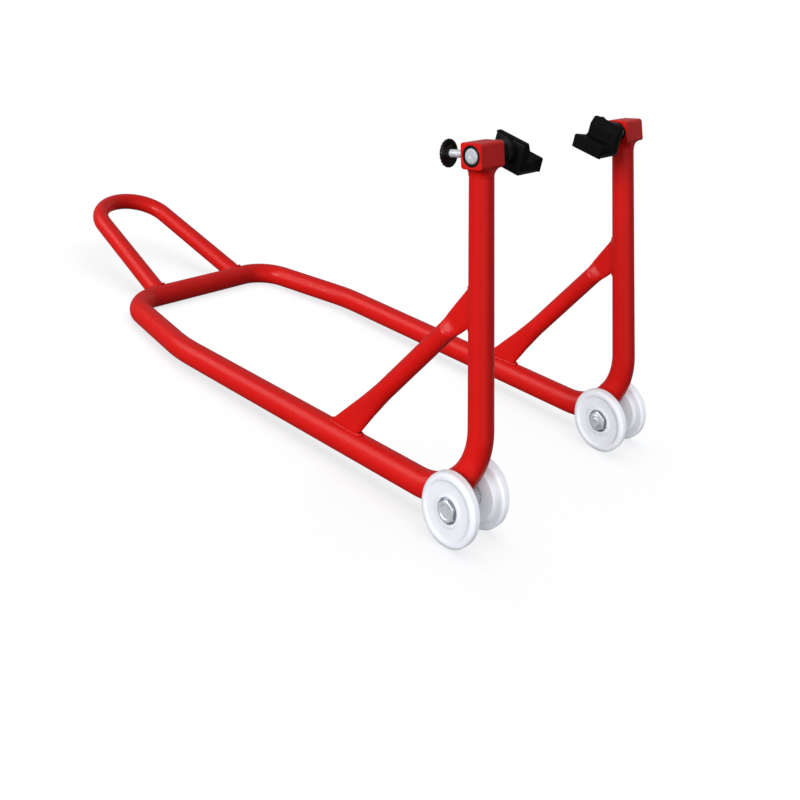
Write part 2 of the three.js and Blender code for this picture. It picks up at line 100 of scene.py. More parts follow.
# ------------------------------------------------------------------ meshes
def make(name, verts, faces, body, mat, nodes=(), local=ID, side=1, smooth=True,
         bevel=0.0, segments=2, auto=38.0, weighted=False):
    """verts in mm in the local frame; side -1 mirrors the piece to the left."""
    M = PLACE @ local
    me = bpy.data.meshes.new(name)
    out = []
    for v in verts:
        p = M @ Vector(v)
        out.append((p.x * side * MM, p.y * MM, p.z * MM))
    me.from_pydata(out, [], faces)
    bm = bmesh.new()
    bm.from_mesh(me)
    bmesh.ops.remove_doubles(bm, verts=bm.verts, dist=1e-7)
    bmesh.ops.recalc_face_normals(bm, faces=bm.faces)
    if bm.calc_volume(signed=True) < 0:
        bmesh.ops.reverse_faces(bm, faces=bm.faces)
    bm.to_mesh(me)
    bm.free()
    ob = bpy.data.objects.new(name, me)
    bpy.context.scene.collection.objects.link(ob)
    if bevel:
        b = ob.modifiers.new("edge", 'BEVEL')
        b.width = bevel * MM
        b.segments = segments
        b.limit_method = 'ANGLE'
        b.angle_limit = math.radians(30)
        b.harden_normals = False
    for p in me.polygons:
        p.use_smooth = smooth
    if smooth and auto:
        flat_edges(me, auto)
    if weighted:
        weigh(ob)
    me.materials.append(mat)
    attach(ob, body)
    if nodes:
        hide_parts(*nodes)
    return ob


def weigh(ob):
    w = ob.modifiers.new("even", 'WEIGHTED_NORMAL')
    w.keep_sharp = True
    w.weight = 80


def flat_edges(me, degrees):
    bm = bmesh.new()
    bm.from_mesh(me)
    lim = math.radians(degrees)
    for e in bm.edges:
        if len(e.link_faces) == 2:
            e.smooth = e.calc_face_angle(0) < lim
    bm.to_mesh(me)
    bm.free()


def turned(profile, closed=False, n=64, wobble=None):
    """Solid turned about X from [x, r] points."""
    verts, faces, rings = [], [], []
    for x, r in profile:
        if r < 1e-6:
            rings.append([len(verts)])
            verts.append((x, 0, 0))
            continue
        ring = []
        for i in range(n):
            a = TAU * i / n
            rr = r + (wobble(a, x, r) if wobble else 0)
            ring.append(len(verts))
            verts.append((x, rr * math.cos(a), rr * math.sin(a)))
        rings.append(ring)
    m = len(rings)
    for k in range(m if closed else m - 1):
        A, B = rings[k], rings[(k + 1) % m]
        for i in range(n):
            j = (i + 1) % n
            if len(A) == 1 and len(B) == 1:
                continue
            if len(A) == 1:
                faces.append((A[0], B[i], B[j]))
            elif len(B) == 1:
                faces.append((A[i], B[0], A[j]))
            else:
                faces.append((A[i], B[i], B[j], A[j]))
    return verts, faces


def rounded(profile, rad, closed, steps=5):
    """Rounds a turned profile's corners. rad is a number or one per point."""
    n = len(profile)
    out = []
    for i, p in enumerate(profile):
        r = rad[i] if isinstance(rad, (list, tuple)) else rad
        if (not closed and i in (0, n - 1)) or r <= 0:
            out.append(tuple(p))
            continue
        a, b, c = Vector(profile[i - 1]).to_2d(), Vector(p).to_2d(), Vector(profile[(i + 1) % n]).to_2d()
        u, v = (a - b), (c - b)
        lu, lv = u.length, v.length
        u.normalize(); v.normalize()
        ang = u.angle(v)
        if ang > 3.05:
            out.append(tuple(p))
            continue
        t = min(r / math.tan(ang / 2), lu * 0.49, lv * 0.49)
        for k in range(steps + 1):
            s = k / steps
            q = (b + u * t) * (1 - s) ** 2 + b * 2 * s * (1 - s) + (b + v * t) * s ** 2
            out.append((q.x, q.y))
    return out


def filleted(points, radii, steps):
    P = [Vector(p) for p in points]
    out = [(P[0].copy(), (P[1] - P[0]).normalized())]
    for i in range(1, len(P) - 1):
        d0, d1 = (P[i] - P[i - 1]).normalized(), (P[i + 1] - P[i]).normalized()
        turn = d0.angle(d1)
        T = radii[i] * math.tan(turn / 2)
        axis = d0.cross(d1).normalized()
        start = P[i] - d0 * T
        C = start + axis.cross(d0) * radii[i]
        for k in range(steps[i] + 1):
            q = Matrix.Rotation(turn * k / steps[i], 3, axis)
            out.append((C + q @ (start - C), q @ d0))
    out.append((P[-1].copy(), (P[-1] - P[-2]).normalized()))
    return out


def densify(path, gap):
    out = [path[0]]
    for (p0, t0), (p1, t1) in zip(path, path[1:]):
        k = max(1, int((p1 - p0).length / gap))
        for i in range(1, k + 1):
            s = i / k
            out.append((p0.lerp(p1, s), t0.lerp(t1, s).normalized()))
    return out


def sweep(path, up, section, closed=False):
    """section(i, s) gives a list of (a, b) offsets for station i at length s."""
    verts, faces = [], []
    nrm = Vector(up)
    length = 0.0
    prev = None
    rows = []
    for i, (p, t) in enumerate(path):
        nrm = (nrm - t * nrm.dot(t)).normalized()
        b = t.cross(nrm).normalized()
        if prev is not None:
            length += (p - prev).length
        prev = p
        pts = section(i, length)
        row = []
        for u, v in pts:
            row.append(len(verts))
            verts.append(tuple(p + nrm * u + b * v))
        rows.append(row)
    m, n = len(rows), len(rows[0])
    for k in range(m if closed else m - 1):
        A, B = rows[k], rows[(k + 1) % m]
        for i in range(n):
            j = (i + 1) % n
            faces.append((A[i], B[i], B[j], A[j]))
    if not closed:
        for row, p in ((rows[0], path[0][0]), (rows[-1], path[-1][0])):
            faces.append(tuple(row))
    return verts, faces


def tube_section(r, n=40):
    pts = [(r * math.cos(TAU * i / n), r * math.sin(TAU * i / n)) for i in range(n)]
    return lambda i, s: pts


def rsquare(half, r, k=6, hy=None):
    out = []
    hy = half if hy is None else hy
    for q in range(4):
        cx = (half - r) * (1 if q in (0, 3) else -1)
        cy = (hy - r) * (1 if q < 2 else -1)
        for i in range(k + 1):
            a = math.pi / 2 * (q + i / k)
            out.append((cx + r * math.cos(a), cy + r * math.sin(a)))
    return out


def loft(rings):
    """rings of (x, y, z) lists, all the same length, closed by fans."""
    verts, faces = [], []
    n = len(rings[0])
    for r in rings:
        verts += [tuple(p) for p in r]
    for k in range(len(rings) - 1):
        for i in range(n):
            j = (i + 1) % n
            faces.append((k * n + i, (k + 1) * n + i, (k + 1) * n + j, k * n + j))
    for o, ring in ((0, rings[0]), ((len(rings) - 1) * n, rings[-1])):
        for tri in tessellate_polygon([[Vector(p) for p in ring]]):
            faces.append(tuple(o + i for i in tri))
    return verts, faces


def ring_loft(rings):
    """Closed torus of rings."""
    verts, faces = [], []
    n, m = len(rings[0]), len(rings)
    for r in rings:
        verts += [tuple(p) for p in r]
    for k in range(m):
        k2 = (k + 1) % m
        for i in range(n):
            j = (i + 1) % n
            faces.append((k * n + i, k2 * n + i, k2 * n + j, k * n + j))
    return verts, faces


def bead(name, curve, r, side, seed, closed=True, ripple=0.14, pitch=2.6):
    """A weld run along a closed curve: overlapping ripples, slightly uneven."""
    pts = [Vector(p) for p in curve]
    # resample evenly
    loop = pts + [pts[0]] if closed else pts
    L = [0.0]
    for a, b in zip(loop, loop[1:]):
        L.append(L[-1] + (b - a).length)
    total = L[-1]
    m = max(24, int(total / 0.55))
    even, k = [], 0
    for i in range(m if closed else m + 1):
        s = total * i / m
        while k < len(L) - 2 and L[k + 1] < s:
            k += 1
        f = (s - L[k]) / max(1e-9, L[k + 1] - L[k])
        even.append(loop[k].lerp(loop[k + 1], f))
    cnt = len(even)
    ripples = max(6, round(total / pitch))
    verts, rows = [], []
    n = 12
    centre = sum(even, Vector()) / cnt
    for i, p in enumerate(even):
        a, b = even[(i - 1) % cnt], even[(i + 1) % cnt]
        if not closed and i == 0: a = p
        if not closed and i == cnt - 1: b = p
        t = (b - a).normalized()
        u = (p - centre)
        u = (u - t * u.dot(t)).normalized()
        v = t.cross(u)
        ph = (i / cnt * ripples) % 1.0
        k2 = 1 + ripple * (1 - 2 * ph) * 0.9 + 0.10 * noise.noise(Vector((seed * 7.3, i * 0.11, 0)))
        row = []
        for j in range(n):
            th = TAU * j / n
            row.append(len(verts))
            verts.append(tuple(p + (u * math.cos(th) + v * math.sin(th)) * r * k2))
        rows.append(row)
    faces = []
    for k3 in range(cnt if closed else cnt - 1):
        A, B = rows[k3], rows[(k3 + 1) % cnt]
        for j in range(n):
            j2 = (j + 1) % n
            faces.append((A[j], B[j], B[j2], A[j2]))
    if not closed:
        faces.append(tuple(rows[0])); faces.append(tuple(rows[-1]))
    return make(name, verts, faces, "base", RED, side=side, auto=0)


def hit(q, d, p, ax, R, far=False):
    """Along q + s d, the s where it meets the cylinder of radius R about p + t ax."""
    ax = ax.normalized()
    w = q - p
    w = w - ax * w.dot(ax)
    e = d - ax * d.dot(ax)
    A, B, C = e.dot(e), 2 * w.dot(e), w.dot(w) - R * R
    disc = B * B - 4 * A * C
    if disc <= 0:
        return -B / (2 * A)
    s = math.sqrt(disc)
    return (-B + s) / (2 * A) if far else (-B - s) / (2 * A)


# --------------------------------------------------------------- materials
def new_mat(name):
    m = bpy.data.materials.new(name)
    m.use_nodes = True
    nt = m.node_tree
    b = nt.nodes["Principled BSDF"]
    return m, nt, b


def nd(nt, kind, **kw):
    n = nt.nodes.new(kind)
    for k, v in kw.items():
        setattr(n, k, v)
    return n


def noise_tex(nt, scale, detail=4, rough=0.55, coord=None):
    t = nd(nt, "ShaderNodeTexNoise")
    t.inputs["Scale"].default_value = scale
    t.inputs["Detail"].default_value = detail
    t.inputs["Roughness"].default_value = rough
    if coord is None:
        g = nd(nt, "ShaderNodeNewGeometry")
        c = nd(nt, "ShaderNodeTexCoord")
        coord = c.outputs["Object"]
    nt.links.new(coord, t.inputs["Vector"])
    return t


def ramp(nt, src, stops):
    r = nd(nt, "ShaderNodeValToRGB")
    e = r.color_ramp.elements
    while len(e) < len(stops):
        e.new(0.5)
    for i, (p, c) in enumerate(stops):
        e[i].position = p
        e[i].color = c if len(c) == 4 else (*c, 1)
    nt.links.new(src, r.inputs["Fac"])
    return r


def grey(v):
    return (v, v, v, 1)


def bump(nt, b, height, strength, dist):
    n = nd(nt, "ShaderNodeBump")
    n.inputs["Strength"].default_value = strength
    n.inputs["Distance"].default_value = dist
    nt.links.new(height, n.inputs["Height"])
    nt.links.new(n.outputs["Normal"], b.inputs["Normal"])
    return n


def red_paint():
    m, nt, b = new_mat("red_powder_coat")
    big = noise_tex(nt, 9.0, 3)
    col = ramp(nt, big.outputs["Fac"], [(0.3, (0.63, 0.0070, 0.0050)), (0.7, (0.67, 0.0085, 0.0060))])
    # painted shade: the base colour is darkened in the crevices by the welds, where shade falls
    ao = nd(nt, "ShaderNodeAmbientOcclusion")
    ao.samples = 4
    ao.inputs["Distance"].default_value = 0.006
    aor = ramp(nt, ao.outputs["AO"], [(0.25, grey(0.62)), (0.8, grey(1.0))])
    mul = nd(nt, "ShaderNodeMix", data_type='RGBA', blend_type='MULTIPLY')
    mul.inputs[0].default_value = 1.0
    nt.links.new(col.outputs["Color"], mul.inputs[6])
    nt.links.new(aor.outputs["Color"], mul.inputs[7])
    # small rubbed spots where the coat has lost its shine
    sc = noise_tex(nt, 210.0, 5, 0.7)
    scr = ramp(nt, sc.outputs["Fac"], [(0.66, grey(0.0)), (0.74, grey(1.0))])
    mix = nd(nt, "ShaderNodeMix", data_type='RGBA', blend_type='MIX')
    fac = nd(nt, "ShaderNodeMath", operation='MULTIPLY')
    fac.inputs[1].default_value = 0.10
    nt.links.new(scr.outputs["Color"], fac.inputs[0])
    nt.links.new(fac.outputs[0], mix.inputs[0])
    nt.links.new(mul.outputs[2], mix.inputs[6])
    mix.inputs[7].default_value = (0.45, 0.03, 0.025, 1)
    nt.links.new(mix.outputs[2], b.inputs["Base Color"])
    rr = noise_tex(nt, 60.0, 4)
    rrr = ramp(nt, rr.outputs["Fac"], [(0.3, grey(0.30)), (0.75, grey(0.42))])
    nt.links.new(rrr.outputs["Color"], b.inputs["Roughness"])
    b.inputs["Specular IOR Level"].default_value = 0.14
    b.inputs["Coat Weight"].default_value = 0.07
    b.inputs["Coat Roughness"].default_value = 0.14
    peel = noise_tex(nt, 620.0, 2, 0.45)
    bump(nt, b, peel.outputs["Fac"], 0.10, 0.0004)
    return m


def white_nylon():
    m, nt, b = new_mat("white_nylon")
    n1 = noise_tex(nt, 30.0, 4)
    col = ramp(nt, n1.outputs["Fac"], [(0.3, (0.735, 0.755, 0.80)), (0.7, (0.785, 0.80, 0.835))])
    # painted shade: the base colour is darkened to a cool grey in recesses and between the wheel's steps, where shade
    # falls
    ao = nd(nt, "ShaderNodeAmbientOcclusion")
    ao.samples = 4
    ao.inputs["Distance"].default_value = 0.008
    aor = ramp(nt, ao.outputs["AO"], [(0.2, (0.66, 0.68, 0.73, 1)), (0.85, grey(1.0))])
    mul = nd(nt, "ShaderNodeMix", data_type='RGBA', blend_type='MULTIPLY')
    mul.inputs[0].default_value = 1.0
    nt.links.new(col.outputs["Color"], mul.inputs[6])
    nt.links.new(aor.outputs["Color"], mul.inputs[7])
    nt.links.new(mul.outputs[2], b.inputs["Base Color"])
    b.inputs["Subsurface Weight"].default_value = 0.4
    b.inputs["Subsurface Radius"].default_value = (0.003, 0.003, 0.0036)
    b.inputs["Subsurface Scale"].default_value = 1.0
    b.inputs["Specular IOR Level"].default_value = 0.3
    n2 = noise_tex(nt, 140.0, 4)
    rr = ramp(nt, n2.outputs["Fac"], [(0.3, grey(0.36)), (0.75, grey(0.50))])
    nt.links.new(rr.outputs["Color"], b.inputs["Roughness"])
    fine = noise_tex(nt, 900.0, 3, 0.6)
    bump(nt, b, fine.outputs["Fac"], 0.12, 0.0003)
    return m


def zinc():
    m, nt, b = new_mat("zinc_plate")
    n1 = noise_tex(nt, 180.0, 4, 0.6)
    col = ramp(nt, n1.outputs["Fac"], [(0.3, (0.62, 0.66, 0.70)), (0.7, (0.80, 0.83, 0.86))])
    nt.links.new(col.outputs["Color"], b.inputs["Base Color"])
    b.inputs["Metallic"].default_value = 0.4
    n2 = noise_tex(nt, 420.0, 5, 0.65)
    rr = ramp(nt, n2.outputs["Fac"], [(0.3, grey(0.24)), (0.75, grey(0.44))])
    nt.links.new(rr.outputs["Color"], b.inputs["Roughness"])
    w = nd(nt, "ShaderNodeTexWave", wave_type='RINGS', rings_direction='X')
    c = nd(nt, "ShaderNodeTexCoord")
    nt.links.new(c.outputs["Object"], w.inputs["Vector"])
    w.inputs["Scale"].default_value = 700.0
    w.inputs["Distortion"].default_value = 2.0
    bump(nt, b, w.outputs["Fac"], 0.06, 0.0002)
    return m


def black(name, base, rough, spread, scale, strength, coat=0.0, spec=0.16):
    m, nt, b = new_mat(name)
    n1 = noise_tex(nt, 45.0, 5, 0.6)
    col = ramp(nt, n1.outputs["Fac"], [(0.3, (base * 0.8, base * 0.82, base * 0.88)), (0.72, (base * 1.5, base * 1.55, base * 1.7))])
    nt.links.new(col.outputs["Color"], b.inputs["Base Color"])
    n2 = noise_tex(nt, 260.0, 4)
    rr = ramp(nt, n2.outputs["Fac"], [(0.3, grey(rough - spread)), (0.75, grey(rough + spread))])
    nt.links.new(rr.outputs["Color"], b.inputs["Roughness"])
    b.inputs["Coat Weight"].default_value = coat
    b.inputs["Coat Roughness"].default_value = 0.25
    b.inputs["Specular IOR Level"].default_value = spec
    n3 = noise_tex(nt, scale, 4, 0.6)
    bump(nt, b, n3.outputs["Fac"], strength, 0.0004)
    return m


RED = red_paint()
NYLON = white_nylon()
ZINC = zinc()
RUBBER = black("moulded_rubber", 0.0030, 0.62, 0.10, 1100.0, 0.35, spec=0.06)
PLASTIC = black("black_plastic", 0.0034, 0.36, 0.07, 800.0, 0.12, coat=0.15)
BLACKPAINT = black("black_powder_coat", 0.0036, 0.42, 0.06, 620.0, 0.15, coat=0.1)
SIDES = (("right", 1), ("left", -1))

# -------------------------------------------------------------- main frame
topZ = ARM_Z - SOCK + 3
pts = [(CORNER_X + UP_DX * topZ, UP_DY * topZ, topZ), (CORNER_X, 0, 0), (SIDE_X, SIDE_Y, 0), (REAR_X, REAR_Y, 0)]
pts = pts + [(-x, y, z) for x, y, z in reversed(pts)]
fpath = filleted(pts, [0, BEND_FRONT, BEND_SIDE, BEND_REAR, BEND_REAR, BEND_SIDE, BEND_FRONT, 0], [0, 28, 14, 24, 24, 14, 28, 0])
fpath = densify(fpath, 14)
v, f = sweep(fpath, (1, 0, 0), tube_section(FRAME_R, 48))
make("frame_skin", v, f, "base", RED, ["frame_tube"], auto=60)

# ------------------------------------------------------------------ handle
hc, hs = math.cos(HANDLE_RISE), math.sin(HANDLE_RISE)
hp = lambda x, s: (x, REAR_Y - s * hc, s * hs)
T = HANDLE_TOP_X * 0.985
inner = math.pi / 2 + math.atan((HANDLE_X - HANDLE_TOP_X) / HANDLE_L)
hr = T * math.tan(inner / 2)
hpath = filleted([hp(HANDLE_X, 0), hp(HANDLE_TOP_X, HANDLE_L), hp(-HANDLE_TOP_X, HANDLE_L), hp(-HANDLE_X, 0)], [0, hr, hr, 0], [0, 28, 28, 0])
hpath = densify(hpath, 12)
v, f = sweep(hpath, (1, 0, 0), tube_section(HANDLE_R, 44))
make("handle_skin", v, f, "base", RED, ["handle_tube"], auto=60)

d = (Vector(hp(HANDLE_TOP_X, HANDLE_L)) - Vector(hp(HANDLE_X, 0))).normalized()
e1 = Vector((1, 0, 0)); e1 = (e1 - d * e1.dot(d)).normalized(); e2 = d.cross(e1)
curve = []
for i in range(96):
    th = TAU * i / 96
    q = Vector(hp(HANDLE_X, 0)) + (e1 * math.cos(th) + e2 * math.sin(th)) * (HANDLE_R + 0.2)
    s = hit(q, d, Vector((0, REAR_Y, 0)), Vector((1, 0, 0)), FRAME_R + 0.2, far=True)
    curve.append(q + d * s)
for nm, s in SIDES:
    bead("weld_handle_" + nm, curve, 2.0, s, 3 if s > 0 else 4)

# ------------------------------------------------------------------ braces
legX = lambda y: CORNER_X + (SIDE_X - CORNER_X) * y / SIDE_Y
b0 = Vector((legX(BRACE_Y), BRACE_Y, 0))
b1 = Vector((CORNER_X + UP_DX * BRACE_Z, UP_DY * BRACE_Z, BRACE_Z))
bd = (b1 - b0).normalized()
blen = (b1 - b0).length
wide = Vector((0, -1, 1)); wide = (wide - bd * wide.dot(bd)).normalized()


LOW = [(0, 15.6, 3.6), (30, 13.4, 4.2), (60, 10.8, 6.5), (90, SMALL_R, SMALL_R), (200, SMALL_R, SMALL_R)]
TOP = [(0, 14.8, 3.6), (20, 13.2, 3.6), (42, 11.0, 3.6), (50, 9.8, 6.0), (56, SMALL_R, SMALL_R), (200, SMALL_R, SMALL_R)]


def along(table, d):
    """Soft interpolation through the stations of a flattened end."""
    d = max(table[0][0], min(table[-1][0] - 0.01, d))
    for k in range(len(table) - 1):
        if d < table[k + 1][0]:
            break
    p0, p1 = table[k], table[k + 1]
    h = p1[0] - p0[0]
    t = (d - p0[0]) / h
    out = []
    for c in (1, 2):
        def slope(i):
            if i <= 0 or i >= len(table) - 1:
                return 0.0
            a = (table[i][c] - table[i - 1][c]) / (table[i][0] - table[i - 1][0])
            b = (table[i + 1][c] - table[i][c]) / (table[i + 1][0] - table[i][0])
            return 0.0 if a * b <= 0 else 2 * a * b / (a + b)
        m0, m1 = slope(k) * h, slope(k + 1) * h
        out.append((2 * t ** 3 - 3 * t * t + 1) * p0[c] + (t ** 3 - 2 * t * t + t) * m0 + (3 * t * t - 2 * t ** 3) * p1[c] + (t ** 3 - t * t) * m1)
    return out


def brace_ring(s, n=48, grow=0.0):
    a, b = along(LOW, s) if s < blen / 2 else along(TOP, blen - s)
    k = max(0.0, min(1.0, (b - 3.6) / (SMALL_R - 3.6)))
    p = 3.4 - 1.4 * k ** 0.6
    ring = []
    for i in range(n):
        th = TAU * i / n
        c, sn = math.cos(th), math.sin(th)
        x = (a + grow) * math.copysign(abs(c) ** (2 / p), c)
        y = (b + grow) * math.copysign(abs(sn) ** (2 / p), sn)
        ring.append((x, y))
    return ring


e2 = bd.cross(wide)
stations = [blen * i / 160 for i in range(161)]
rings = [[tuple(b0 + bd * s + wide * x + e2 * y) for x, y in brace_ring(s)] for s in stations]
v, f = loft(rings)
for nm, s in SIDES:
    make("brace_skin_" + nm, v, f, "base", RED, ["brace_" + nm], side=s, auto=60)

low, up_ = [], []
for (x, y) in brace_ring(0, 96, 0.2):
    q = b0 + wide * x + e2 * y
    low.append(q + bd * hit(q, bd, Vector((CORNER_X, 0, 0)), Vector((SIDE_X - CORNER_X, SIDE_Y, 0)), FRAME_R + 0.2, far=True))
for (x, y) in brace_ring(blen, 96, 0.2):
    q = b1 + wide * x + e2 * y
    up_.append(q - bd * hit(q, -bd, Vector((CORNER_X, 0, 0)), Vector((UP_DX, UP_DY, 1)), FRAME_R + 0.2, far=True))
for nm, s in SIDES:
    bead("weld_brace_low_" + nm, low, 1.7, s, 5 if s > 0 else 6)
    bead("weld_brace_top_" + nm, up_, 1.7, s, 7 if s > 0 else 8)

# ------------------------------------------------- axle sleeves and wheels
prof = rounded([(-BOSS_HALF, BORE_R), (BOSS_HALF, BORE_R), (BOSS_HALF, BOSS_R), (-BOSS_HALF, BOSS_R)], 0.5, True, 3)
v, f = turned(prof, True, 64)
for nm, s in SIDES:
    make("sleeve_skin_" + nm, v, f, "base", ZINC, ["axle_sleeve_" + nm], AXLE, s)

centre_line = [p for p, t in fpath[:140]]


def tube_gap(p):
    best = 1e9
    for a, b in zip(centre_line, centre_line[1:]):
        ab = b - a
        t = max(0.0, min(1.0, (p - a).dot(ab) / max(1e-9, ab.dot(ab))))
        best = min(best, (p - (a + ab * t)).length)
    return best - FRAME_R


centre_line = [p for p in centre_line if abs(p.y) < 150 and p.z < 120]
half_a, half_b = [], []
for i in range(181):
    th = TAU * i / 180
    base = lambda x: Vector((AXLE_X + x, AXLE_Y + (BOSS_R + 0.3) * math.cos(th), AXLE_Z + (BOSS_R + 0.3) * math.sin(th)))
    if tube_gap(base(0)) > 0:
        continue
    ends = []
    for sg in (1, -1):
        a, b = 0.0, 16.0
        for _ in range(22):
            c = (a + b) / 2
            if tube_gap(base(sg * c)) < 0:
                a = c
            else:
                b = c
        ends.append(min(a, BOSS_HALF - 1.2))
    half_a.append((th, base(ends[0])))
    half_b.append((th, base(-ends[1])))
# the covered angles may wrap past zero, so start after the widest break
if half_a:
    ths = [a for a, _ in half_a]
    br = max(range(len(ths)), key=lambda i: (ths[(i + 1) % len(ths)] - ths[i]) % TAU)
    order = [(br + 1 + i) % len(ths) for i in range(len(ths))]
    loop = [half_a[i][1] for i in order] + [half_b[i][1] for i in reversed(order)]
    for nm, s in SIDES:
        bead("weld_sleeve_" + nm, loop, 1.5, s, 9 if s > 0 else 10)

wheel_prof = [(0, 8.06), (0, 21.6), (1.0, 22.6), (4.2, 22.6), (4.2, 29.2), (6.0, WHEEL_R), (13.4, WHEEL_R), (15.8, 29.7), (16.5, 27.6), (16.5, 25.6),
              (14.8, 23.8), (14.5, 14.4), (15.9, 13.4), (15.9, RECESS_R), (9.6, RECESS_R), (9.6, 8.06)]
wheel_rad = [0.3, 0.6, 0.8, 1.6, 1.6, 3.0, 3.0, 3.0, 1.6, 1.6, 2.4, 1.4, 0.8, 0.7, 0.4, 0.3]
for tag, sg in (("outer", 1), ("inner", -1)):
    prof = rounded([(sg * (HUB_IN + u), r) for u, r in wheel_prof], wheel_rad, True, 5)
    v, f = turned(prof, True, 96)
    for nm, s in SIDES:
        make(f"wheel_skin_{tag}_{nm}", v, f, f"wheel_{tag}_{nm}", NYLON, [f"wheel_{tag}_{nm}"], AXLE, s, auto=50)
    a = sg * (BOSS_HALF + 0.05)
    b = a + sg * BUSH_L
    prof = rounded([(a, BORE_R), (b, BORE_R), (b, 8.0), (a, 8.0)], 0.3, True, 2)
    v, f = turned(prof, True, 48)
    for nm, s in SIDES:
        make(f"bush_skin_{tag}_{nm}", v, f, "base", ZINC, [f"wheel_bush_{tag}_{nm}"], AXLE, s)
    c = b + sg * 0.02
    e = c + sg * WASHER_T
    prof = rounded([(c, BORE_R + 0.05), (e, BORE_R + 0.05), (e, WASHER_R), (c, WASHER_R)], 0.45, True, 3)
    v, f = turned(prof, True, 64)
    for nm, s in SIDES:
        make(f"washer_skin_{tag}_{nm}", v, f, "base", ZINC, [f"axle_washer_{tag}_{nm}"], AXLE, s)


def hex_r(th, af):
    k = (th + math.pi / 6) % (math.pi / 3) - math.pi / 6
    return af / 2 / math.cos(k)


def hex_solid(x0, x1, af, core, top_in, crown_both=False, n=96, turn=0.0):
    """Hexagon along X from x0 to x1 with a turned 30 degree crown at x1.
    core is a list of (x, r) continuing inwards from the crown's flat."""
    sg = 1 if x1 > x0 else -1
    rows = []
    rc = af / 2 * 0.965

    def ring(fn):
        return [fn(TAU * i / n) for i in range(n)]

    def at(x, r, th):
        return (x, r * math.cos(th + turn), r * math.sin(th + turn))
    if crown_both:
        rows.append(ring(lambda th: at(x0, rc, th)))
        rows.append(ring(lambda th: at(x0 + sg * max(0, hex_r(th, af) - rc) * 0.577, hex_r(th, af), th)))
    else:
        rows.append(ring(lambda th: at(x0, hex_r(th, af), th)))
    rows.append(ring(lambda th: at(x1 - sg * max(0, hex_r(th, af) - rc) * 0.577, hex_r(th, af), th)))
    rows.append(ring(lambda th: at(x1, rc, th)))
    for x, r in core:
        rows.append(ring(lambda th: at(x, r, th)))
    return rows, n


def rows_mesh(rows, n, cap0=None, cap1=None, closed=False):
    verts = [p for r in rows for p in r]
    faces = []
    m = len(rows)
    for k in range(m if closed else m - 1):
        k2 = (k + 1) % m
        for i in range(n):
            j = (i + 1) % n
            faces.append((k * n + i, k2 * n + i, k2 * n + j, k * n + j))
    if cap0 is not None:
        c = len(verts); verts.append(cap0)
        for i in range(n):
            faces.append((c, i, (i + 1) % n))
    if cap1 is not None:
        c = len(verts); verts.append(cap1)
        o = (m - 1) * n
        for i in range(n):
            faces.append((c, o + i, o + (i + 1) % n))
    return verts, faces


def thread_rows(x0, x1, R, depth, pitch, n, rows_per=6, lead=1.2):
    """Rings of a helical thread from x0 to x1 with a tapered lead-in at x1."""
    sg = 1 if x1 > x0 else -1
    L = abs(x1 - x0)
    m = int(L / pitch * rows_per)
    rows = []
    for k in range(m + 1):
        s = L * k / m
        row = []
        for i in range(n):
            th = TAU * i / n
            ph = (s / pitch - i / n) % 1.0
            tri = abs(ph * 2 - 1)
            fade = min(1.0, s / 0.8)
            taper = max(0.0, (s - (L - lead)) / lead)
            r = R - depth * tri * fade - taper * depth * 1.3
            row.append((x0 + sg * s, r * math.cos(th), r * math.sin(th)))
        rows.append(row)
    return rows


seat = BOSS_HALF + 0.05 + BUSH_L + 0.02 + WASHER_T + 0.02
# bolt: crowned head with a shallow turned dimple, shank and threaded end
rows, n = hex_solid(seat, seat + HEAD_T, HEX_AF, [(seat + HEAD_T - 0.05, 6.4), (seat + HEAD_T - 0.5, 5.6), (seat + HEAD_T - 0.7, 1.6)], 0)
under = [[(seat, 5.4 * math.cos(TAU * i / n), 5.4 * math.sin(TAU * i / n)) for i in range(n)],
         [(seat - 0.3, 5.0 * math.cos(TAU * i / n), 5.0 * math.sin(TAU * i / n)) for i in range(n)]]
thr = thread_rows(-seat + 4, -seat - NUT_T - 1.8, BOLT_R, 0.65, 1.5, n)
rows = list(reversed(rows)) + under + thr
v, f = rows_mesh(rows, n, cap0=(seat + HEAD_T - 0.8, 0, 0), cap1=(-seat - NUT_T - 1.8, 0, 0))
for nm, s in SIDES:
    make("bolt_skin_" + nm, v, f, "base", ZINC, ["axle_bolt_" + nm], AXLE, s, auto=24)
# lock nut: crowned on both sides with a domed collar round the insert
x0, x1 = -seat, -seat - NUT_T + 2.2
rows, n = hex_solid(x0, x1, HEX_AF, [(x1, 7.5), (x1 - 0.5, 7.2), (x1 - 1.6, 6.9), (x1 - 2.2, 6.2), (x1 - 2.1, 5.15), (x1, 5.1), (x0 - 0.6, 5.05)], 0, crown_both=True)
inner_row = [(x0, 5.7 * math.cos(TAU * i / n), 5.7 * math.sin(TAU * i / n)) for i in range(n)]
v, f = rows_mesh(rows + [inner_row], n, closed=True)
for nm, s in SIDES:
    make("nut_skin_" + nm, v, f, "base", ZINC, ["axle_nut_" + nm], AXLE, s, auto=24)

# ------------------------------------------------------- sockets and welds
TO_REAR = Matrix.Rotation(-math.pi / 2, 4, 'Z')
KNOB = ARM @ Matrix.Translation(Vector((KNOB_X, 0, 0))) @ TO_REAR


def polar_square(half, r, n=96):
    """A rounded square as n points at even angles."""
    out = []
    for i in range(n):
        th = TAU * (i + 0.5) / n
        c, sn = math.cos(th), math.sin(th)
        t = half / max(abs(c), abs(sn))
        x, y = t * c, t * sn
        if abs(x) > half - r and abs(y) > half - r:
            cx, cy = math.copysign(half - r, x), math.copysign(half - r, y)
            k = c * cx + sn * cy
            t = k + math.sqrt(max(0.0, k * k - (cx * cx + cy * cy) + r * r))
            x, y = t * c, t * sn
        out.append((x, y))
    return out


def round_ring(r, n=96):
    return [(r * math.cos(TAU * (i + 0.5) / n), r * math.sin(TAU * (i + 0.5) / n)) for i in range(n)]


